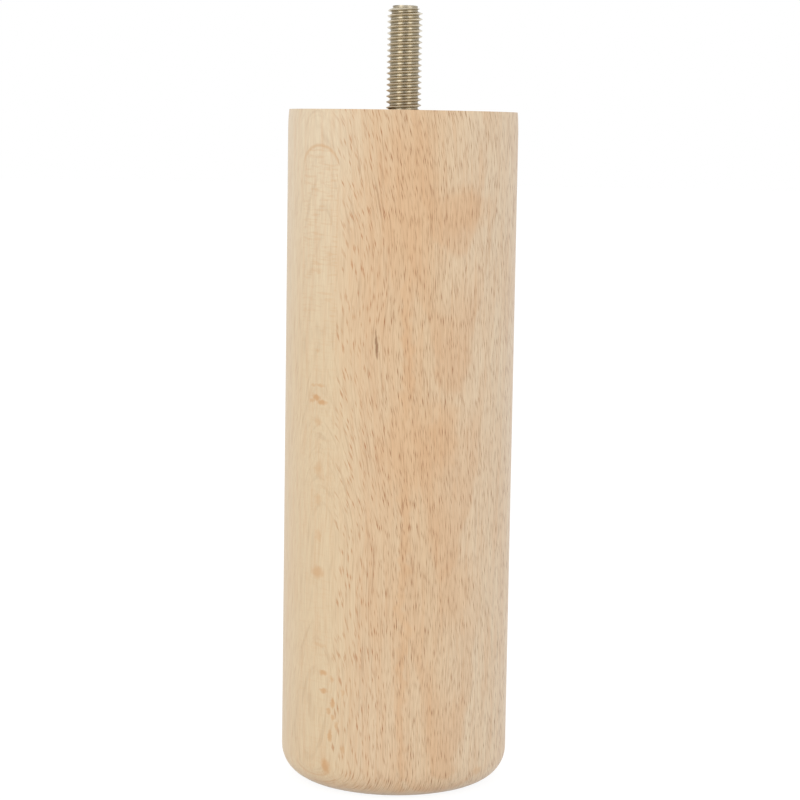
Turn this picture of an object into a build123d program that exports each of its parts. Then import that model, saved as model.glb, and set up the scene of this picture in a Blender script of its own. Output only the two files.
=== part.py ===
from build123d import *
import os

os.makedirs("parts", exist_ok=True)

# Turned beech leg, standing on the plane z = 0 with its axis on Z
leg_height = 150.0
leg_diameter = 51.0
foot_rounding = 6.7
top_easing = 0.22
top_easing_height = 4.1

# Hanger bolt, upper end: the outside of an M8 thread, with a chamfered tip
stud_diameter = 7.8
stud_showing = 23.0
tip_chamfer = 1.25

# Hanger bolt, plain shank between the two threads
shank_diameter = 7.1
shank_length = 7.0
shoulder_run = 0.6

# Hanger bolt, lower end: the outside of a coarse wood thread, with a sharp point
wood_thread_diameter = 8.0
wood_thread_length = 30.0
point_length = 7.5

# Gap that the driven bolt leaves to the wood, on every side
driven_clearance = 0.1

# Levels along the axis
stud_top = leg_height + stud_showing
shank_bottom = leg_height - shank_length
point_tip = shank_bottom - wood_thread_length
point_top = point_tip + point_length


def bolt_form(grow):
    """The whole hanger bolt, larger by grow all round: the bolt itself, or the hole that it cuts in the wood."""
    thread_radius = wood_thread_diameter / 2 + grow
    shank_radius = shank_diameter / 2 + grow
    stud_radius = stud_diameter / 2 + grow
    with BuildPart() as form:
        with BuildSketch(Plane.XZ):
            with BuildLine():
                Polyline(
                    (0, point_tip - grow),
                    (thread_radius, point_top),
                    (thread_radius, shank_bottom - shoulder_run),
                    (shank_radius, shank_bottom),
                    (shank_radius, leg_height - shoulder_run),
                    (stud_radius, leg_height),
                    (stud_radius, stud_top - tip_chamfer + grow),
                    (stud_radius - tip_chamfer, stud_top + grow),
                    (0, stud_top + grow),
                    close=True,
                )
            make_face()
        revolve(axis=Axis.Z)
    return form.part


# The leg is one turned piece with a blind hole that the bolt has cut for itself
with BuildPart() as leg_body:
    with BuildSketch(Plane.XZ):
        with BuildLine():
            leg_radius = leg_diameter / 2
            foot_flat = Line((0, 0), (leg_radius - foot_rounding, 0))
            foot_round = TangentArc(foot_flat @ 1, (leg_radius, foot_rounding), tangent=(1, 0))
            side = Line(foot_round @ 1, (leg_radius, leg_height - top_easing_height))
            top_ease = TangentArc(side @ 1, (leg_radius - top_easing, leg_height), tangent=(0, 1))
            Line(top_ease @ 1, (0, leg_height))
            Line((0, leg_height), (0, 0))
        make_face()
    revolve(axis=Axis.Z)
    add(bolt_form(driven_clearance), mode=Mode.SUBTRACT)
leg_body.part.label = "leg_body"
export_step(leg_body.part, "parts/leg_body.step")

# The hanger bolt stands in the wood by its coarse thread and shows its stud above it
with BuildPart() as hanger_bolt:
    add(bolt_form(0.0))
hanger_bolt.part.label = "hanger_bolt"
export_step(hanger_bolt.part, "parts/hanger_bolt.step")
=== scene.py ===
# %% [markdown]
# A turned beech furniture leg, 51 mm thick and 150 mm tall, with a steel stud standing out of its top.
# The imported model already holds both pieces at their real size. The leg's form is finished there, so it
# keeps its mesh and gets its wood here. The hanger bolt is only a smooth outline there, so it is replaced
# by a bolt with real threads. Everything is in metres, with the foot on the plane z = 0.

import math
from types import SimpleNamespace

import bmesh
import bpy
from mathutils import Matrix, Vector


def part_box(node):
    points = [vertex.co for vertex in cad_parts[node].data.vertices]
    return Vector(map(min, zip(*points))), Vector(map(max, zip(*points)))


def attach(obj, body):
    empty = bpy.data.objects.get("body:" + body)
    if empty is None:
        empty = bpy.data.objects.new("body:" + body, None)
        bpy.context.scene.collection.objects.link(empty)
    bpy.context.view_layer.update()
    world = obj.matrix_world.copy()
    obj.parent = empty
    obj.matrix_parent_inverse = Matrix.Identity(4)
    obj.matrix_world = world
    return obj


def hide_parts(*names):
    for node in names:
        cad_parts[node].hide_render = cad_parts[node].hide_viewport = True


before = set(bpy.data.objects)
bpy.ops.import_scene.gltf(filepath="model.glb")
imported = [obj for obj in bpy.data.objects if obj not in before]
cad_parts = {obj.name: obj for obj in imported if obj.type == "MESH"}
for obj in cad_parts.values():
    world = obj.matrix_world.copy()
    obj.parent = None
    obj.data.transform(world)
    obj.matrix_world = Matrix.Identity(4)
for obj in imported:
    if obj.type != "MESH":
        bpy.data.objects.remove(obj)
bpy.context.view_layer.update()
scene = bpy.context.scene
mm = 0.001
leg_low, leg_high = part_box("leg_body")
bolt_low, bolt_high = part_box("hanger_bolt")
leg_radius = (leg_high.x - leg_low.x) / 2
leg_top = leg_high.z
print(f"leg {2 * leg_radius / mm:.1f} mm thick and {leg_top / mm:.1f} mm tall")
print(f"stud tip at {bolt_high.z / mm:.1f} mm")

# %% [markdown]
# The photograph is taken from half a metre away, level with the top of the leg, through a lens of about
# 100 mm that points a little down. The leg leans by a degree in the picture. A leg on a level floor
# stands upright, so that lean is the camera's own tilt. The camera is set by its place and by three
# directions: to the right, up and back.

# %% Camera
IMAGE_WIDTH = 800
FOCAL_PIXELS = 2278.2
SENSOR_WIDTH = 36.0
NEAREST_SEEN = 0.01
CAMERA_PLACE = Vector((0.231, -508.8, 144.9)) * mm
CAMERA_PITCH = math.radians(6.659)
CAMERA_ROLL = math.radians(0.914)


def aim_camera(place, pitch, roll):
    """A camera that looks along +Y and down by pitch, turned by roll about its own view."""
    camera = bpy.data.objects.new("camera", bpy.data.cameras.new("camera"))
    scene.collection.objects.link(camera)
    ahead = Vector((0, math.cos(pitch), -math.sin(pitch)))
    level = Vector((1, 0, 0))
    upward = level.cross(ahead)
    right = level * math.cos(roll) + upward * math.sin(roll)
    up = upward * math.cos(roll) - level * math.sin(roll)
    turn = Matrix((right, up, -ahead)).transposed().to_4x4()
    camera.matrix_world = Matrix.Translation(place) @ turn
    return camera


camera = aim_camera(CAMERA_PLACE, CAMERA_PITCH, CAMERA_ROLL)
camera.data.sensor_width = SENSOR_WIDTH
camera.data.lens = FOCAL_PIXELS * SENSOR_WIDTH / IMAGE_WIDTH
camera.data.clip_start = NEAREST_SEEN
camera.data.dof.use_dof = False
scene.camera = camera
scene.view_settings.view_transform = "Standard"
print(f"lens {camera.data.lens:.1f} mm at {-CAMERA_PLACE.y / mm:.0f} mm from the leg")

# %% [markdown]
# Shader trees and geometry trees are both nodes joined by links, so the same small helpers serve them
# all. add() makes one node and fills its inputs, each with a plain value or with another node's output.
# The short functions after it stand for the sums that come back again and again.

# %% Helpers for node trees
def add(tree, kind, inputs=None, **settings):
    """One node, with its settings, and its inputs given as values or as outputs of other nodes."""
    node = tree.nodes.new(kind)
    for name, value in settings.items():
        setattr(node, name, value)
    for socket, value in (inputs or {}).items():
        if isinstance(value, bpy.types.NodeSocket):
            tree.links.new(value, node.inputs[socket])
        else:
            node.inputs[socket].default_value = value
    return node


def sum_of(tree, operation, *values):
    """A Math node's result."""
    return add(tree, "ShaderNodeMath", dict(enumerate(values)), operation=operation).outputs[0]


def joined_by(operation):
    """A function that joins any number of values from left to right, by Math nodes of one kind."""
    def join(tree, first, *others):
        for value in others:
            first = sum_of(tree, operation, first, value)
        return first

    return join


plus, minus = joined_by("ADD"), joined_by("SUBTRACT")
times, over = joined_by("MULTIPLY"), joined_by("DIVIDE")
largest, smallest = joined_by("MAXIMUM"), joined_by("MINIMUM")


def ramp(tree, value, start, end, low=0.0, high=1.0, smooth=False):
    """low before start, high after end, and a straight or smooth slope between them."""
    kind = "SMOOTHSTEP" if smooth else "LINEAR"
    inputs = {"Value": value, "From Min": start, "From Max": end, "To Min": low, "To Max": high}
    node = add(tree, "ShaderNodeMapRange", inputs, interpolation_type=kind, clamp=True)
    return node.outputs["Result"]


def vector_of(tree, operation, *values):
    """A Vector Math node's result, where that is a vector."""
    node = add(tree, "ShaderNodeVectorMath", dict(enumerate(values)), operation=operation)
    return node.outputs["Vector"]


def scaled(tree, vector, factor):
    """A vector, made longer by one factor."""
    node = add(tree, "ShaderNodeVectorMath", {0: vector, "Scale": factor}, operation="SCALE")
    return node.outputs["Vector"]


def along(tree, vector, direction):
    """How far a vector reaches in a direction."""
    node = add(tree, "ShaderNodeVectorMath", {0: vector, 1: direction}, operation="DOT_PRODUCT")
    return node.outputs["Value"]


def vector_from(tree, **parts):
    """A vector from its parts X, Y and Z."""
    return add(tree, "ShaderNodeCombineXYZ", parts).outputs[0]


def parts_of(tree, vector):
    """A vector's parts, by the names X, Y and Z."""
    return add(tree, "ShaderNodeSeparateXYZ", {0: vector}).outputs


def noise(tree, place, scale, detail):
    """Smooth noise: a number by the name Fac and a colour by the name Color."""
    inputs = {"Vector": place, "Scale": scale, "Detail": detail}
    return add(tree, "ShaderNodeTexNoise", inputs).outputs


def blend(tree, share, low, high, kind="MIX"):
    """A colour between two others, or one laid on the other."""
    inputs = {0: share, 6: low, 7: high}
    return add(tree, "ShaderNodeMix", inputs, data_type="RGBA", blend_type=kind).outputs[2]


def place_in_mm(tree):
    """Where a point lies on the real piece, in millimetres."""
    return scaled(tree, add(tree, "ShaderNodeTexCoord").outputs["Object"], 1 / mm)


def fresh_material(name):
    """A material with an empty tree."""
    material = bpy.data.materials.new(name)
    material.use_nodes = True
    material.node_tree.nodes.clear()
    return material


def paint(red, green, blue):
    """A colour as a picture program names it, 0 to 255, in the linear light that shaders count in."""
    def linear(level):
        share = level / 255
        return share / 12.92 if share <= 0.04045 else ((share + 0.055) / 1.055) ** 2.4

    return (linear(red), linear(green), linear(blue), 1.0)


def grey(level):
    """A grey between 0 and 1, in linear light."""
    return (level, level, level, 1.0)


# %% [markdown]
# The picture is a studio shot on pure white. The floor and the surroundings are white to the camera, and
# the light on the object stays at a plain level: soft light from all round, which is why the wood looks
# almost evenly lit from edge to edge. The steel mirrors what is around it, so its vertical dark band is
# the darker room behind the camera, with a bright soft box on each side.

# %% Surroundings
ROOM_LIGHT = 0.90
PAPER_LOW = 0.62
PAPER_HIGH = 0.98
PAPER_RISE = 0.7
DARK_ROOM = 0.28
DARK_MIDDLE = math.cos(math.radians(9))
DARK_EDGE = math.cos(math.radians(24))
TO_CAMERA = (0, -1, 0)
WHITE = grey(1)


def white_room():
    """White to the camera, a paper room with a dark front in reflections, and soft light for the rest."""
    world = bpy.data.worlds.new("white_room")
    world.use_nodes = True
    tree = world.node_tree
    tree.nodes.clear()
    rays = add(tree, "ShaderNodeLightPath").outputs
    direction = add(tree, "ShaderNodeTexCoord").outputs["Generated"]
    upward = parts_of(tree, direction)["Z"]
    paper = ramp(tree, upward, 0.0, PAPER_RISE, PAPER_LOW, PAPER_HIGH, smooth=True)
    dark = ramp(tree, along(tree, direction, TO_CAMERA), DARK_EDGE, DARK_MIDDLE, smooth=True)
    mirrored = plus(tree, times(tree, paper, minus(tree, 1.0, dark)), times(tree, dark, DARK_ROOM))
    diffuse = times(tree, rays["Is Diffuse Ray"], ROOM_LIGHT)
    glossy = times(tree, rays["Is Glossy Ray"], mirrored)
    clear = largest(tree, rays["Is Camera Ray"], rays["Is Transmission Ray"])
    strength = largest(tree, diffuse, glossy, clear)
    background = add(tree, "ShaderNodeBackground", {"Color": WHITE, "Strength": strength})
    add(tree, "ShaderNodeOutputWorld", {"Surface": background.outputs[0]})
    return world


scene.world = white_room()
print(f"room: soft light {ROOM_LIGHT}, steel mirrors {PAPER_LOW} to {PAPER_HIGH} and {DARK_ROOM} in front")

# %% [markdown]
# Two soft boxes stand in front of the leg, one to each side. They are large and near, so they only round
# the wood a little, but in the steel each one shows as an upright bright streak. The left one is
# stronger, because the photograph is a little lighter on the left.

# %% Soft boxes
BOX_HEIGHT = 0.35
BOX_DISTANCE = 0.9
BOX_TALL = 0.8


def soft_box(name, bearing, width, watts):
    """An area lamp that faces the leg. Its bearing from the camera's side grows to the right."""
    lamp = bpy.data.lights.new(name, "AREA")
    lamp.shape = "RECTANGLE"
    lamp.size = width
    lamp.size_y = BOX_TALL
    lamp.energy = watts
    holder = bpy.data.objects.new(name, lamp)
    turn = math.radians(bearing)
    place = Vector((math.sin(turn) * BOX_DISTANCE, -math.cos(turn) * BOX_DISTANCE, BOX_HEIGHT))
    middle = Vector((0, 0, leg_top / 2))
    holder.location = place
    holder.rotation_euler = (middle - place).to_track_quat("-Z", "Y").to_euler()
    scene.collection.objects.link(holder)
    return holder


left_box = soft_box("soft_box_left", bearing=-38, width=0.55, watts=2.2)
right_box = soft_box("soft_box_right", bearing=45, width=0.50, watts=1.6)
print(f"soft boxes: {left_box.data.energy:.1f} W on the left, {right_box.data.energy:.1f} W on the right")

# %% [markdown]
# The photograph has no horizon and hardly any shadow. The floor therefore glows just below white where
# the camera sees it, and a little real shading on top of that leaves the faint shadow round the foot.
# For all other light it is plain pale paper, which throws soft light up at the foot.

# %% Floor
FLOOR_REACH = 6.0
FLOOR_DROP = 0.05 * mm
FLOOR_PAPER = grey(0.8)
FLOOR_SHADING = grey(0.16)
FLOOR_GLOW = 0.90


def white_floor():
    """A pale floor that the camera sees as white, with a little of its own shading for the shadow."""
    material = fresh_material("white_floor")
    tree = material.node_tree
    plain = add(tree, "ShaderNodeBsdfDiffuse", {"Color": FLOOR_PAPER})
    lit = add(tree, "ShaderNodeBsdfDiffuse", {"Color": FLOOR_SHADING})
    glow = add(tree, "ShaderNodeEmission", {"Color": WHITE, "Strength": FLOOR_GLOW})
    seen = add(tree, "ShaderNodeAddShader", {0: lit.outputs[0], 1: glow.outputs[0]})
    rays = add(tree, "ShaderNodeLightPath").outputs
    direct = largest(tree, rays["Is Camera Ray"], rays["Is Glossy Ray"])
    both = add(tree, "ShaderNodeMixShader", {0: direct, 1: plain.outputs[0], 2: seen.outputs[0]})
    add(tree, "ShaderNodeOutputMaterial", {"Surface": both.outputs[0]})

    mesh = bpy.data.meshes.new("floor")
    corners = [(-1, -1), (1, -1), (1, 1), (-1, 1)]
    corners = [(x * FLOOR_REACH, y * FLOOR_REACH, -FLOOR_DROP) for x, y in corners]
    mesh.from_pydata(corners, [], [(0, 1, 2, 3)])
    mesh.materials.append(material)
    floor = bpy.data.objects.new("floor", mesh)
    scene.collection.objects.link(floor)


white_floor()
print(f"floor: {2 * FLOOR_REACH:.0f} m wide, {FLOOR_DROP / mm:.2f} mm under the foot")

# %% [markdown]
# Beech is known by its rays: thin sheets that run from the pith of the tree to the bark. Cut across, as on
# most of this leg, each one shows as a short brown spindle. Cut along, as in the strip on the left, it
# shows as a pale band with orange patches. The rings show as U shapes where the cut lies across
# the tree's radius and as fine lines elsewhere. None of that is painted on the surface. It is one
# solid block of wood around a pith that lies outside the leg, and the turned form cuts through it.

# %% Wood coordinates
PITH_BEARING = math.radians(26)
PITH_DISTANCE = 75.0
WAVE_LENGTH = 46.0
WAVE_SIZE = 6.0
NOISE_MIDDLE = (0.5, 0.5, 0.5)


def about_pith(tree, place):
    """Distance from the pith and distance round it, in mm. The leg's side of the pith counts as zero."""
    outward = (-math.sin(PITH_BEARING), math.cos(PITH_BEARING), 0)
    sideways = (math.cos(PITH_BEARING), math.sin(PITH_BEARING), 0)
    out = plus(tree, along(tree, place, outward), PITH_DISTANCE)
    side = along(tree, place, sideways)
    squares = plus(tree, times(tree, out, out), times(tree, side, side))
    around = times(tree, sum_of(tree, "ARCTAN2", side, out), PITH_DISTANCE)
    return sum_of(tree, "SQRT", squares), around


def in_waves(tree, place):
    """The same place, moved a little by the slow waves in which the tree's fibres grew."""
    waves = noise(tree, place, 1 / WAVE_LENGTH, 1.0)["Color"]
    shift = vector_of(tree, "SUBTRACT", waves, NOISE_MIDDLE)
    shift = vector_of(tree, "MULTIPLY", shift, (WAVE_SIZE, WAVE_SIZE, 0))
    return vector_of(tree, "ADD", place, shift)


def wood_place(tree):
    """All that the layers ask about a place: where it lies, how high, and how it lies about the pith."""
    place = place_in_mm(tree)
    plain_radius, plain_around = about_pith(tree, place)
    radius, around = about_pith(tree, in_waves(tree, place))
    return SimpleNamespace(place=place, height=parts_of(tree, place)["Z"],
                           plain_radius=plain_radius, plain_around=plain_around,
                           radius=radius, around=around)


print(f"pith {PITH_DISTANCE:.0f} mm from the leg's axis, at {math.degrees(PITH_BEARING):.0f} degrees")

# %% [markdown]
# Each layer of the wood's figure is a number from 0 to 1 in those coordinates. Rays are the cells of a
# flat Voronoi pattern, narrow around the tree and tall along it: a diamond in each cell, with its own
# size and strength. The pattern doesn't change along the radius, so a ray is a sheet that runs right
# through the wood. The fibres wind a little round the pith, so the spindles lean, and lean more where
# the cut nears the radius. From here on a slope is written as four numbers: where it starts, where it
# ends, its value before and its value after.

# %% Rays
SPIRAL = 0.12
RAY_SMALLEST = 0.6
RAY_LARGEST = 1.15
RAY_BODY = (0.55, 1.15, 1.0, 0.0)
RAY_STRENGTH = (0.0, 1.0, 0.3, 1.0)


def rays_of(tree, at, width, tall, share, seed):
    """Brown spindles in cells of the given size. The share is a spindle's half size in its cell."""
    leaned = plus(tree, at.around, times(tree, at.height, SPIRAL))
    across = plus(tree, over(tree, leaned, width), seed)
    cell = vector_from(tree, X=across, Y=over(tree, at.height, tall))
    spots = add(tree, "ShaderNodeTexVoronoi", {"Vector": cell, "Scale": 1.0, "Randomness": 1.0},
                voronoi_dimensions="2D", distance="MANHATTAN").outputs
    chance = add(tree, "ShaderNodeSeparateColor", {"Color": spots["Color"]}).outputs
    reach = ramp(tree, chance["Red"], 0.0, 1.0, RAY_SMALLEST * share, RAY_LARGEST * share)
    depth = over(tree, spots["Distance"], reach)
    return times(tree, ramp(tree, depth, *RAY_BODY), ramp(tree, chance["Green"], *RAY_STRENGTH))


print(f"the fibres wind {SPIRAL * 100:.0f} mm round the pith on 100 mm of height")


# %% [markdown]
# A year's growth starts pale and ends darker, so a ring is a soft saw-tooth along the distance from the
# pith. The lower stem is thicker than the upper one, and the rings swell with it. Where the turned side is
# level with a ring's own side, that swelling draws the U shapes of the cathedral figure. Fibres and pores
# are noise, drawn out along the grain until only thin threads are left.

# %% Rings and fibres
RING_SPACING = 2.7
RING_START = 1.2
RING_RISE = (0.15, 0.85, 0.0, 1.0)
RING_END = (0.85, 1.0, 1.0, 0.0)
SWELL_TOP = 132.0
SWELL_REACH = 13.5
SWELL_EASE = 14.0
DRIFT_LENGTH = 15
DRIFT_SIZE = 2.4
FIBRE_SPIRAL = SPIRAL * 0.3


def rings_of(tree, at):
    """Each year's ring darkens slowly outwards and ends in a fine edge. The stem swells downwards."""
    drift = noise(tree, at.place, 1 / DRIFT_LENGTH, 3.0)["Fac"]
    below = minus(tree, SWELL_TOP, at.height)
    eased = sum_of(tree, "SQRT", plus(tree, times(tree, below, below), SWELL_EASE ** 2))
    below = times(tree, plus(tree, below, eased), 0.5)
    swell = sum_of(tree, "SQRT", over(tree, below, leg_top / mm))
    moved = plus(tree, at.plain_radius, RING_START, times(tree, swell, SWELL_REACH),
                 times(tree, drift, DRIFT_SIZE))
    year = sum_of(tree, "FRACT", over(tree, moved, RING_SPACING))
    rise = ramp(tree, year, *RING_RISE, smooth=True)
    return times(tree, rise, ramp(tree, year, *RING_END, smooth=True))


def streaks_of(tree, at, width, deep, tall, seed):
    """Fibres, or the fine pores between them: noise drawn out along the grain, and as deep as wanted."""
    leaned = plus(tree, at.around, times(tree, at.height, FIBRE_SPIRAL))
    cell = vector_from(tree, X=plus(tree, over(tree, leaned, width), seed),
                       Y=over(tree, at.radius, deep), Z=over(tree, at.height, tall))
    return noise(tree, cell, 1.0, 2.0)["Fac"]


print(f"a ring each {RING_SPACING} mm, and {SWELL_REACH} mm of swelling down the leg")


# %% [markdown]
# On the left the surface runs along the rays for a few millimetres, so one band of wood shows there as a
# long pale tongue with a round upper end. A few of this leg's own marks are listed, each by its
# bearing from the camera's side, its height above the floor, how wide and how tall it is, and its
# strength: orange patches where a ray lies in the surface, one dark ray, the warm patches of the
# cathedral figure, and one narrow warm band that darkens the middle of the side facing the camera from
# foot to top. Their ragged edges are written as the size of a grain and how far it pushes, in mm.

# %% The tongue and the placed marks
TONGUE_EDGE = 25.4
TONGUE_TOP = 142.3
TONGUE_ROUND = 4.7
TONGUE_DEPTH = 0.62
TONGUE_INSIDE = (-0.04, 0.04, 0.0, 1.0)
LINE_WIDTH = (0.0, 0.17, 1.0, 0.0)
LINE_AT_TOP = (137.0, 141.8, 0.10, 1.0)
LINE_AT_FOOT = (3.0, 8.0, 0.9, 0.10)
MARK_DEPTH = 4.0
SMALL_FRAY = (0.9, 1.3)
DARK_FRAY = (1.2, 0.4)
BROAD_FRAY = (5.0, 6.0)
SOFTNESS = 0.6
DARK_SOFTNESS = 0.5
ORANGE_MARKS = [
    (-44.0, 115.1, 1.6, 0.6, 0.30), (-43.9, 98.2, 1.6, 0.8, 0.35), (-46.5, 90.5, 1.4, 0.7, 0.50),
    (-42.0, 90.6, 2.2, 0.7, 0.55), (-44.6, 87.8, 2.2, 1.3, 0.95), (-41.0, 87.0, 2.4, 1.2, 0.90),
    (-47.5, 87.1, 1.6, 0.9, 0.55), (-43.3, 82.6, 2.0, 1.8, 0.40), (-43.0, 72.3, 2.0, 2.6, 0.42),
    (-42.6, 65.7, 1.6, 2.4, 0.42), (-42.3, 57.6, 1.6, 2.6, 0.38), (-42.4, 49.6, 3.4, 2.4, 0.62),
    (-40.1, 33.5, 3.0, 1.0, 0.30), (-37.9, 27.5, 1.9, 1.2, 0.80), (-37.8, 23.5, 1.9, 0.9, 0.80),
    (-32.7, 26.2, 1.0, 1.2, 0.60), (-31.8, 21.0, 0.9, 1.9, 0.75), (-34.2, 19.1, 1.0, 1.4, 0.65),
    (-31.6, 17.8, 0.9, 1.5, 0.60), (-29.9, 16.1, 0.9, 1.5, 0.60), (-33.3, 13.7, 0.9, 2.1, 0.75),
    (-26.4, 23.6, 0.7, 1.8, 0.50), (-26.2, 11.0, 0.8, 1.8, 0.45), (-35.9, 6.6, 2.0, 3.2, 0.85),
    (47.5, 5.3, 2.8, 1.8, 0.40),
]
DARK_MARKS = [
    (-11.6, 102.2, 0.36, 2.4, 0.55), (-11.4, 100.9, 0.60, 2.6, 0.80),
    (-11.1, 99.4, 0.66, 2.8, 0.85), (-10.8, 98.0, 0.46, 1.9, 0.60),
]
# The last entry is no patch of the figure: a narrow warm band, 170 mm tall, that darkens the middle of the
# side facing the camera from foot to top.
WARM_PATCHES = [
    (21.6, 80.0, 8.0, 15.0, 0.9), (29.5, 46.0, 9.0, 17.0, 0.6), (27.5, 104.5, 6.5, 5.0, 0.3),
    (31.0, 129.0, 13.0, 9.0, 0.75), (3.0, 130.0, 13.0, 34.0, 0.75), (5.0, 77.0, 13.0, 17.0, 0.75),
    (-19.0, 116.0, 13.0, 44.0, 0.35), (44.0, 78.0, 5.0, 26.0, 0.3), (3.6, 75.0, 2.4, 170.0, 0.8),
]


def frayed(tree, place, grain, amount):
    """The same place, moved about by fine noise, so that an oval placed there gets a ragged edge."""
    push = vector_of(tree, "SUBTRACT", noise(tree, place, 1 / grain, 2.0)["Color"], NOISE_MIDDLE)
    return vector_of(tree, "ADD", place, scaled(tree, push, amount))


def marks_of(tree, place, marks, softness):
    """The strongest of several soft ovals that lie in the leg's side."""
    strongest = 0.0
    reach = leg_radius / mm
    for bearing, height, wide, tall, strength in marks:
        turn = math.radians(bearing)
        mapped = add(tree, "ShaderNodeMapping", {
            "Vector": place,
            "Location": (math.sin(turn) * reach, -math.cos(turn) * reach, height),
            "Rotation": (0, 0, turn),
            "Scale": (wide / 2, MARK_DEPTH, tall / 2)}, vector_type="TEXTURE").outputs[0]
        distance = add(tree, "ShaderNodeVectorMath", {0: mapped}, operation="LENGTH").outputs["Value"]
        oval = ramp(tree, distance, 1.0 - softness, 1.0 + softness, strength, 0.0, smooth=True)
        strongest = largest(tree, strongest, oval)
    return strongest


def tongue_of(tree, at):
    """Two numbers: how far a place is inside the pale tongue, and how near to its edge line."""
    above = largest(tree, minus(tree, at.height, TONGUE_TOP - TONGUE_ROUND), 0.0)
    closing = sum_of(tree, "POWER", over(tree, above, TONGUE_ROUND), 2.0)
    edge = plus(tree, times(tree, closing, TONGUE_DEPTH), TONGUE_EDGE)
    depth = minus(tree, times(tree, at.plain_around, -1.0), edge)
    inside = ramp(tree, depth, *TONGUE_INSIDE, smooth=True)
    line = ramp(tree, sum_of(tree, "ABSOLUTE", depth), *LINE_WIDTH, smooth=True)
    ends = largest(tree, ramp(tree, at.height, *LINE_AT_TOP, smooth=True),
                   ramp(tree, at.height, *LINE_AT_FOOT, smooth=True))
    return inside, times(tree, line, ends)


print(f"placed: {len(ORANGE_MARKS)} orange marks, {len(DARK_MARKS)} dark, {len(WARM_PATCHES)} warm patches")

# %% [markdown]
# The ground colour runs from the paler outer wood on the right to the warmer heart, and it is quiet and
# pale inside the tongue and to the left of it. Over it lie thin threads: noise of a given width round the
# tree, depth along the radius and length along the grain, all in mm, with a seed as its last number.

# %% Ground and threads
HEART = paint(214, 187, 152)
SAP = paint(221, 201, 172)
QUIET = paint(219, 197, 162)
PALE = paint(227, 211, 184)
WARM = paint(212, 172, 130)
RING = paint(205, 160, 117)
RAY = paint(134, 75, 14)
ORANGE = paint(201, 156, 109)

LEFT_OUTWARD = (72.0, 76.0, 0.0, 1.0)
LEFT_AROUND = (-20.0, -12.0, 1.0, 0.0)
NEAR_TONGUE = (-25.9, -22.0, 1.0, 0.0)
OUTER_AROUND = (-8.0, 11.0, 0.0, 1.0)
OUTER_AT_FOOT = (8.0, 50.0, 0.4, 0.0)
PALER_UPWARD = (95.0, 150.0, 0.0, 0.6)
PATCHES = (5.0, 9.0, 26.0, 5.0)
PATCH_DEPTH = (0.42, 0.62, 0.0, 0.20)
PATCH_WHERE_QUIET = (0.0, 1.0, 1.0, 0.15)
WARMTH = 0.7
RING_DEPTH = (5.0, 14.0, 0.36, 0.15)
RING_WHERE_QUIET = (0.0, 1.0, 1.0, 0.5)

FIBRES = (0.20, 0.20, 5.0, 3.0)
FIBRE_DEPTH = (0.35, 0.65, 0.0, 0.13)
PORES = (0.17, 6.0, 9.0, 31.0)
PORE_DEPTH = (0.54, 0.70, 0.0, 1.0)
PORE_WHERE_QUIET = (0.0, 1.0, 0.36, 0.13)
RIPPLES = (1.6, 3.5, 0.55, 77.0)
RIPPLE_DEPTH = (0.5, 0.68, 0.0, 0.30)
RIPPLE_UPWARD = (96.0, 118.0, 0.35, 1.0)
BANDS = (1.0, 0.9, 16.0, 58.0)
BAND_DEPTH = (0.50, 0.66, 0.0, 0.20)


def ground_of(tree, at):
    """The wood's broad colours, with the warm patches and the rings."""
    outer = largest(tree, ramp(tree, at.around, *OUTER_AROUND), ramp(tree, at.height, *OUTER_AT_FOOT))
    calm = blend(tree, ramp(tree, at.height, *PALER_UPWARD), QUIET, PALE)
    colour = blend(tree, at.quiet, blend(tree, outer, HEART, SAP), calm)
    patches = streaks_of(tree, at, *PATCHES)
    warmth = times(tree, ramp(tree, patches, *PATCH_DEPTH, smooth=True),
                   ramp(tree, at.quiet, *PATCH_WHERE_QUIET))
    placed = marks_of(tree, frayed(tree, at.place, *BROAD_FRAY), WARM_PATCHES, SOFTNESS)
    colour = blend(tree, times(tree, largest(tree, warmth, placed), WARMTH), colour, WARM)
    off_centre = sum_of(tree, "ABSOLUTE", at.plain_around)
    depth = times(tree, ramp(tree, off_centre, *RING_DEPTH), ramp(tree, at.quiet, *RING_WHERE_QUIET))
    return blend(tree, times(tree, rings_of(tree, at), depth), colour, RING)


def with_threads(tree, at, fibres, colour):
    """Fibres, pores and fine bands along the grain, and ripples across the tongue."""
    colour = blend(tree, ramp(tree, fibres, *FIBRE_DEPTH), colour, RAY)
    pores = ramp(tree, streaks_of(tree, at, *PORES), *PORE_DEPTH)
    colour = blend(tree, times(tree, pores, ramp(tree, at.quiet, *PORE_WHERE_QUIET)), colour, RAY)
    ripples = times(tree, ramp(tree, streaks_of(tree, at, *RIPPLES), *RIPPLE_DEPTH),
                    ramp(tree, at.height, *RIPPLE_UPWARD))
    colour = blend(tree, times(tree, at.tongue, ripples), colour, ORANGE)
    return blend(tree, ramp(tree, streaks_of(tree, at, *BANDS), *BAND_DEPTH), colour, RING)


print(f"fibres {FIBRES[0]} mm wide and {FIBRES[2]} mm long, pores {PORES[0]} mm and {PORES[2]} mm")


# %% [markdown]
# The rays come in two patterns, each written as the width and height of its cells in mm, the share of a
# spindle in its cell, and a seed. They gather in rows, fade on end grain, in the tongue and along the
# leg's left, and turn from brown to orange next to the tongue, where the cut nears the radius.

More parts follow.
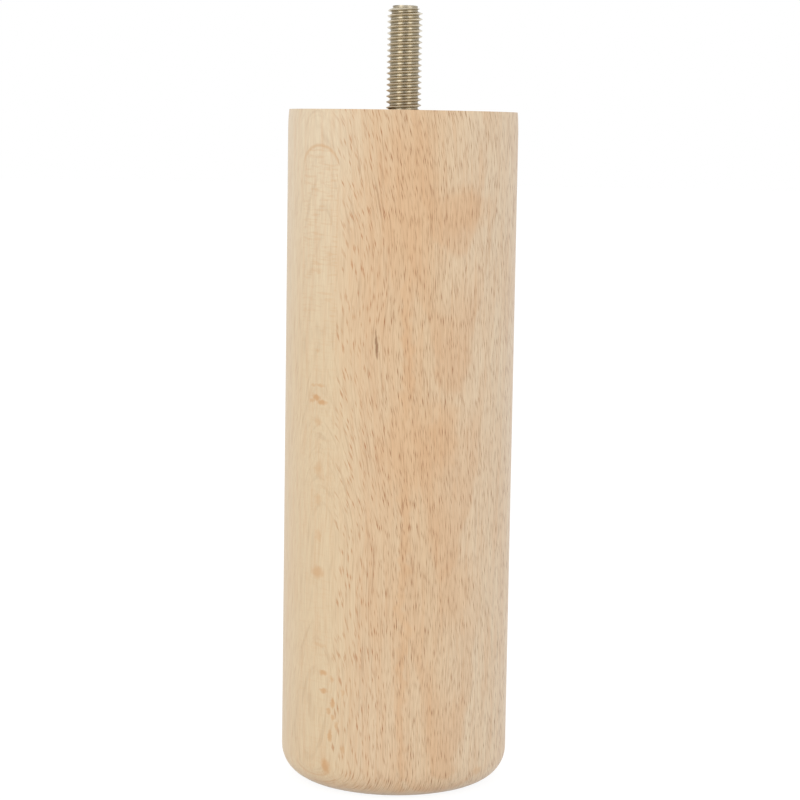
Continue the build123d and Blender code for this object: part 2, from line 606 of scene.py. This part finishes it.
# %% Ray figure
NEAR_RAY = paint(166, 92, 14)
BROAD_RAYS = (0.48, 5.6, 0.235, 11.0)
FINE_RAYS = (0.37, 6.8, 0.22, 40.0)
FINE_STRENGTH = 0.95
FIGURE_STRENGTH = 0.95
BROAD_AROUND = (-2.0, 12.0, 1.0, 0.95)
RAY_ROWS = (0.42, 40.0, 24.0, 91.0)
ROW_STRENGTH = (0.36, 0.56, 0.45, 1.0)
RAY_ON_END_GRAIN = (0.2, 0.8, 1.0, 0.35)
RAY_IN_TONGUE = (0.0, 1.0, 1.0, 0.06)
RAY_AT_LEFT = (0.0, 1.0, 1.0, 0.22)
RAY_AROUND = [(-25.8, -25.2, 0.15, 1.0), (24.0, 25.8, 1.0, 0.40), (-25.5, -17.0, 0.58, 1.0)]
RAY_TO_BROWN = (-24.0, -17.0, 0.0, 1.0)


def figure_of(tree, at, upright):
    """How strongly a ray shows at a place."""
    broad = times(tree, rays_of(tree, at, *BROAD_RAYS), ramp(tree, at.around, *BROAD_AROUND))
    figure = largest(tree, broad, times(tree, rays_of(tree, at, *FINE_RAYS), FINE_STRENGTH))
    rows = ramp(tree, streaks_of(tree, at, *RAY_ROWS), *ROW_STRENGTH)
    fades = [ramp(tree, upright, *RAY_ON_END_GRAIN), ramp(tree, at.tongue, *RAY_IN_TONGUE),
             ramp(tree, at.left_of_it, *RAY_AT_LEFT)]
    fades += [ramp(tree, at.plain_around, *slope) for slope in RAY_AROUND]
    return times(tree, figure, rows, *fades, FIGURE_STRENGTH)


print(f"ray cells {BROAD_RAYS[0]} by {BROAD_RAYS[1]} mm and {FINE_RAYS[0]} by {FINE_RAYS[1]} mm")


# %% [markdown]
# The finish is bare sanded wood: matt, with the faint white bloom that fine fibres give at a grazing
# angle, so the edges of the leg look paler than its middle. End grain drinks light and looks darker on the
# top and where the round of the foot turns under. The lowest rim of the foot is painted paler again:
# painted light that the white floor throws up at it.

# %% Beech
DARK_RAY = paint(136, 97, 62)
END_GRAIN = paint(234, 228, 218)
# Painted light: the foot's lowest rim is painted in this paler colour, for the light that the white floor
# throws up at it.
PAINTED_BOUNCE_LIGHT = paint(225, 215, 201)
LINE_STRENGTH = 0.5
END_GRAIN_UP = (0.3, 0.95, 0.0, 0.8)
END_GRAIN_DOWN = (-0.95, -0.3, 0.35, 0.0)
PAINTED_BOUNCE_HEIGHT = (0.0, 2.6, 0.42, 0.0)
WOOD_ROUGHNESS = (0.3, 0.7, 0.55, 0.68)
FIBRE_HEIGHT = 0.02 * mm


def beech():
    """Bare sanded beech, one solid block that the leg's form cuts through."""
    material = fresh_material("beech_sanded")
    tree = material.node_tree
    at = wood_place(tree)
    at.tongue, tongue_line = tongue_of(tree, at)
    at.left_of_it = times(tree, ramp(tree, at.plain_radius, *LEFT_OUTWARD, smooth=True),
                          ramp(tree, at.plain_around, *LEFT_AROUND, smooth=True))
    at.quiet = largest(tree, ramp(tree, at.plain_around, *NEAR_TONGUE), at.left_of_it)
    upright = parts_of(tree, add(tree, "ShaderNodeNewGeometry").outputs["Normal"])["Z"]

    # Ground, threads and rays
    fibres = streaks_of(tree, at, *FIBRES)
    colour = with_threads(tree, at, fibres, ground_of(tree, at))
    ray_colour = blend(tree, ramp(tree, at.plain_around, *RAY_TO_BROWN), NEAR_RAY, RAY)
    colour = blend(tree, figure_of(tree, at, upright), colour, ray_colour)

    # The tongue's edge and the marks that belong to this one leg
    colour = blend(tree, times(tree, tongue_line, LINE_STRENGTH), colour, ORANGE)
    orange = marks_of(tree, frayed(tree, at.place, *SMALL_FRAY), ORANGE_MARKS, SOFTNESS)
    dark = marks_of(tree, frayed(tree, at.place, *DARK_FRAY), DARK_MARKS, DARK_SOFTNESS)
    colour = blend(tree, dark, blend(tree, orange, colour, ORANGE), DARK_RAY)

    # End grain, and painted bounce light from the floor on the lowest rim of the foot
    end_grain = plus(tree, ramp(tree, upright, *END_GRAIN_UP, smooth=True),
                     ramp(tree, upright, *END_GRAIN_DOWN, smooth=True))
    colour = blend(tree, end_grain, colour, END_GRAIN, "MULTIPLY")
    colour = blend(tree, ramp(tree, at.height, *PAINTED_BOUNCE_HEIGHT, smooth=True), colour, PAINTED_BOUNCE_LIGHT)

    bump = add(tree, "ShaderNodeBump", {"Height": fibres, "Distance": FIBRE_HEIGHT, "Strength": 0.6})
    skin = add(tree, "ShaderNodeBsdfPrincipled", {
        "Base Color": colour, "Roughness": ramp(tree, fibres, *WOOD_ROUGHNESS),
        "Normal": bump.outputs[0], "Specular IOR Level": 0.5,
        "Sheen Weight": 0.28, "Sheen Roughness": 0.4})
    add(tree, "ShaderNodeOutputMaterial", {"Surface": skin.outputs[0]})
    return material


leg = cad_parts["leg_body"]
leg.material_slots[0].material = beech()
print(f"wood on {leg.name}: {len(leg.material_slots[0].material.node_tree.nodes)} shader nodes")

# %% [markdown]
# The stud is the upper end of a hanger bolt: a machine thread above the wood, then inside it a plain
# shank and a coarse wood thread that was screwed into the leg. A thread is a ramp wound round a rod, so
# one sheet of squares makes the whole bolt: each row of the sheet climbs by one pitch in a turn and
# lands on the row that started a turn later. The rows then lie along the crests and roots, and no edge
# is stepped.

# %% Bolt sizes
TIP_GAP = 0.004 * mm
POINT_LENGTH = 7.5 * mm
SHANK_LENGTH = 7.0 * mm
BOLT_SIZES = {
    "Point": bolt_low.z,
    "Point end": bolt_low.z + POINT_LENGTH,
    "Wood thread end": leg_top - SHANK_LENGTH,
    "Leg top": leg_top,
    "Tip": bolt_high.z - TIP_GAP,
    "Wood crest": 4.0 * mm,
    "Wood root": 2.8 * mm,
    "Shank": 3.55 * mm,
    "Stud crest": 3.9 * mm,
    "Stud root": 3.135 * mm,
    "Chamfer": 1.25 * mm,
    "Shoulder": 0.6 * mm,
    "Wood pitch": 3.6 * mm,
    "Shank pitch": 3.5 * mm,
    "Stud pitch": 1.25 * mm,
    "Run in": 0.55 * mm,
    "Pilot": 2.78 * mm,
    "Pilot height": 0.6 * mm,
    "Pilot edge": 0.15 * mm,
}
STRETCHES = [("Point", "Wood thread end", "Wood pitch"), ("Wood thread end", "Leg top", "Shank pitch"),
             ("Leg top", "Tip", "Stud pitch")]
THREAD_START = 0.13
ROWS_PER_TURN = 16
ROUND = 80
CREST_SHARE = 0.10
WOOD_ROOT_SHARE = 0.5
STUD_ROOT_SHARE = 0.75
FLANK_CURVE = 1.25
FADE_SHOULDERS = 3.0
RUN_IN_CHAMFERS = 2.0
SAME_POINT = 0.001 * mm

turns_seen = (bolt_high.z - leg_top) / BOLT_SIZES["Stud pitch"]
print(f"stud: {turns_seen:.1f} turns above the wood at {BOLT_SIZES['Stud pitch'] / mm} mm each")

# %% [markdown]
# The tree has a named input for each size. It winds the sheet round the axis, then gives each point the
# smaller of two radii: the thread's own, and the smooth outline that the thread never passes.

# %% The bolt's tree
def fresh_tree(name, sizes):
    """A geometry tree with a named input for each size, and one for the material."""
    tree = bpy.data.node_groups.new(name, "GeometryNodeTree")
    tree.interface.new_socket(name="Geometry", in_out="OUTPUT", socket_type="NodeSocketGeometry")
    for label in sizes:
        tree.interface.new_socket(name=label, in_out="INPUT", socket_type="NodeSocketFloat")
    tree.interface.new_socket(name="Finish", in_out="INPUT", socket_type="NodeSocketMaterial")
    return tree


def smooth_outline(tree, given, height):
    """Point, shoulders, chamfered tip and the small raised end face: what the thread never passes."""
    neck_start = minus(tree, given["Wood thread end"], given["Shoulder"])
    swell_start = minus(tree, given["Leg top"], given["Shoulder"])
    pilot_start = minus(tree, given["Tip"], given["Pilot height"])
    point = ramp(tree, height, given["Point"], given["Point end"], 0.0, given["Wood crest"])
    neck = ramp(tree, height, neck_start, given["Wood thread end"], given["Wood crest"], given["Shank"])
    swell = ramp(tree, height, swell_start, given["Leg top"],
                 0.0, minus(tree, given["Stud crest"], given["Shank"]))
    tip = ramp(tree, height, minus(tree, given["Tip"], given["Chamfer"]), given["Tip"],
               0.0, given["Chamfer"])
    pilot = ramp(tree, height, minus(tree, pilot_start, given["Pilot edge"]), pilot_start,
                 given["Wood crest"], given["Pilot"])
    return smallest(tree, point, pilot, minus(tree, plus(tree, neck, swell), tip))


def thread_root(tree, given, height):
    """The root of the thread, which fades into the shank at both ends and runs in at the tip."""
    fade = times(tree, given["Shoulder"], FADE_SHOULDERS)
    fade_start = minus(tree, given["Wood thread end"], fade)
    stud_start = minus(tree, given["Leg top"], given["Shoulder"])
    first_turns = minus(tree, given["Tip"], times(tree, given["Chamfer"], RUN_IN_CHAMFERS))
    low = ramp(tree, height, fade_start, given["Wood thread end"], given["Wood root"], given["Shank"])
    high = ramp(tree, height, stud_start, given["Leg top"],
                0.0, minus(tree, given["Shank"], given["Stud root"]))
    run_in = ramp(tree, height, first_turns, given["Tip"], 0.0, given["Run in"])
    return minus(tree, low, high, run_in)


def threaded_bolt_tree(sizes):
    """The whole bolt, wound from one sheet of squares."""
    tree = fresh_tree("threaded_bolt", sizes)
    given = add(tree, "NodeGroupInput").outputs

    # The turn at which each stretch starts, and how many turns it takes
    starts, runs = [1.0], []
    for low, high, pitch in STRETCHES:
        runs.append(over(tree, minus(tree, given[high], given[low]), given[pitch]))
        starts.append(plus(tree, starts[-1], runs[-1]))
    last_turn = starts[-1]
    turns = sum_of(tree, "CEIL", plus(tree, last_turn, 1.0))
    sheet = add(tree, "GeometryNodeMeshGrid", {
        "Size X": 1.0, "Size Y": 1.0, "Vertices X": ROUND + 1,
        "Vertices Y": plus(tree, times(tree, turns, ROWS_PER_TURN), 1.0)})

    # Where a point of the sheet lies: its turn, counted along the winding, and its place round the rod
    spot = parts_of(tree, add(tree, "GeometryNodeInputPosition").outputs[0])
    share_round = plus(tree, spot["X"], 0.5)
    row_turn = times(tree, plus(tree, spot["Y"], 0.5), turns)
    turn = plus(tree, row_turn, share_round)
    angle = times(tree, plus(tree, share_round, THREAD_START), 2 * math.pi)

    # Height: each stretch climbs at its own pitch, and nothing rises past the tip
    climbs = []
    for start, run, (low, high, pitch) in zip(starts, runs, STRETCHES):
        turns_in_it = smallest(tree, largest(tree, minus(tree, turn, start), 0.0), run)
        climbs.append(times(tree, turns_in_it, given[pitch]))
    height = plus(tree, given["Point"], plus(tree, *climbs))

    # The thread's own section: a narrow crest, straight flanks and a wider root
    phase = minus(tree, sum_of(tree, "FRACT", row_turn), 0.5)
    phase = times(tree, sum_of(tree, "ABSOLUTE", phase), 2.0)
    shank = (given["Wood thread end"], given["Leg top"])
    root_start = ramp(tree, height, *shank, WOOD_ROOT_SHARE, STUD_ROOT_SHARE)
    section = ramp(tree, phase, CREST_SHARE, root_start, 1.0, 0.0)
    section = sum_of(tree, "POWER", section, FLANK_CURVE)
    root = thread_root(tree, given, height)
    crest = ramp(tree, height, *shank, given["Wood crest"], given["Stud crest"])
    thread = plus(tree, root, times(tree, minus(tree, crest, root), section))
    closing = ramp(tree, turn, last_turn, plus(tree, last_turn, 1.0), 1.0, 0.0)
    radius = times(tree, smallest(tree, thread, smooth_outline(tree, given, height)), closing)

    wound = vector_from(tree, X=times(tree, radius, sum_of(tree, "COSINE", angle)),
                        Y=times(tree, radius, sum_of(tree, "SINE", angle)), Z=height)
    shape = add(tree, "GeometryNodeSetPosition", {"Geometry": sheet.outputs["Mesh"], "Position": wound})
    for kind, inputs in (("GeometryNodeMergeByDistance", {"Distance": SAME_POINT}),
                         ("GeometryNodeSetShadeSmooth", {}),
                         ("GeometryNodeRealizeInstances", {}),
                         ("GeometryNodeSetMaterial", {"Material": given["Finish"]})):
        shape = add(tree, kind, {"Geometry": shape.outputs[0], **inputs})
    add(tree, "NodeGroupOutput", {"Geometry": shape.outputs[0]})
    return tree


bolt_tree = threaded_bolt_tree(BOLT_SIZES)
print(f"bolt tree: {len(BOLT_SIZES)} named sizes, {len(bolt_tree.nodes)} nodes")


# %% [markdown]
# The steel is bright with a warm tint. Its roots are painted darker than its crests: painted shade in the
# hollows of the thread. Fine bumps break the mirror up, so the bright streaks look a little ragged, as in
# the photo.

# %% Steel
ROOT_SHADE_COLOUR = (0.49, 0.43, 0.32, 1)
CREST_COLOUR = (0.79, 0.73, 0.60, 1)
STAIN_COLOUR = (0.50, 0.43, 0.30, 1)
ROOT_SHADE_FADE = (3.2, 3.85, 0.0, 1.0)
STAIN_SCALE = 1.6
STAIN_STRENGTH = (0.4, 0.7, 0.0, 0.35)
STEEL_ROUGHNESS = (0.3, 0.7, 0.24, 0.38)
SCRATCH_SCALE = 9.0
SCRATCH_HEIGHT = 0.01 * mm


def bright_steel():
    """Rolled thread with a warm nickel plating: bright crests, and roots darkened by painted shade."""
    material = fresh_material("nickel_steel")
    tree = material.node_tree
    place = place_in_mm(tree)
    part = parts_of(tree, place)
    squares = plus(tree, times(tree, part["X"], part["X"]), times(tree, part["Y"], part["Y"]))
    # Painted shade: the thread's roots take a darker colour than its crests.
    crest = ramp(tree, sum_of(tree, "SQRT", squares), *ROOT_SHADE_FADE, smooth=True)
    stains = noise(tree, place, STAIN_SCALE, 3.0)["Fac"]
    colour = blend(tree, crest, ROOT_SHADE_COLOUR, CREST_COLOUR)
    colour = blend(tree, ramp(tree, stains, *STAIN_STRENGTH), colour, STAIN_COLOUR)
    scratches = noise(tree, place, SCRATCH_SCALE, 2.0)["Fac"]
    bump = add(tree, "ShaderNodeBump", {"Height": scratches, "Distance": SCRATCH_HEIGHT, "Strength": 0.5})
    metal = add(tree, "ShaderNodeBsdfPrincipled", {
        "Base Color": colour, "Roughness": ramp(tree, stains, *STEEL_ROUGHNESS),
        "Normal": bump.outputs[0], "Metallic": 1.0})
    add(tree, "ShaderNodeOutputMaterial", {"Surface": metal.outputs[0]})
    return material


steel = bright_steel()
print(f"steel: {len(steel.node_tree.nodes)} shader nodes")


# %% [markdown]
# Now the tree is run once on an empty object with the sizes from above, and the result is kept as a plain
# mesh. A check counts the faces, the volume and the open edges. The bolt then takes the place of the
# packed outline: it rides on the same body.

# %% Bolt
NO_LENGTH = 1e-7
SHARP_ANGLE = math.radians(50)


def shape_piece(name, tree, sizes, finish):
    """Runs a geometry tree on an empty object and keeps the result as a plain mesh."""
    piece = bpy.data.objects.new(name, bpy.data.meshes.new(name))
    scene.collection.objects.link(piece)
    modifier = piece.modifiers.new("shape", "NODES")
    modifier.node_group = tree
    inputs = [item for item in tree.interface.items_tree if item.in_out == "INPUT"]
    sockets = {item.name: item.identifier for item in inputs}
    for label, size in sizes.items():
        modifier[sockets[label]] = size
    modifier[sockets["Finish"]] = finish
    bpy.context.view_layer.update()
    shaped = piece.evaluated_get(bpy.context.evaluated_depsgraph_get())
    mesh = bpy.data.meshes.new_from_object(shaped)
    piece.modifiers.remove(modifier)
    piece.data = mesh
    return piece


def tidy_mesh(mesh):
    """Drops faces with no area, turns every face outwards and measures the volume and the open edges."""
    work = bmesh.new()
    work.from_mesh(mesh)
    bmesh.ops.dissolve_degenerate(work, edges=work.edges, dist=NO_LENGTH)
    bmesh.ops.recalc_face_normals(work, faces=work.faces)
    if work.calc_volume(signed=True) < 0:
        bmesh.ops.reverse_faces(work, faces=work.faces)
    open_edges = sum(1 for edge in work.edges if len(edge.link_faces) != 2)
    volume = work.calc_volume(signed=True)
    work.to_mesh(mesh)
    work.free()
    mesh.set_sharp_from_angle(angle=SHARP_ANGLE)
    return volume, open_edges


bolt = shape_piece("threaded_bolt", bolt_tree, BOLT_SIZES, steel)
volume, open_edges = tidy_mesh(bolt.data)
print(f"bolt: {len(bolt.data.polygons)} faces, {volume / mm ** 3:.0f} mm3, {open_edges} open edges")
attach(bolt, "root")
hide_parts("hanger_bolt")
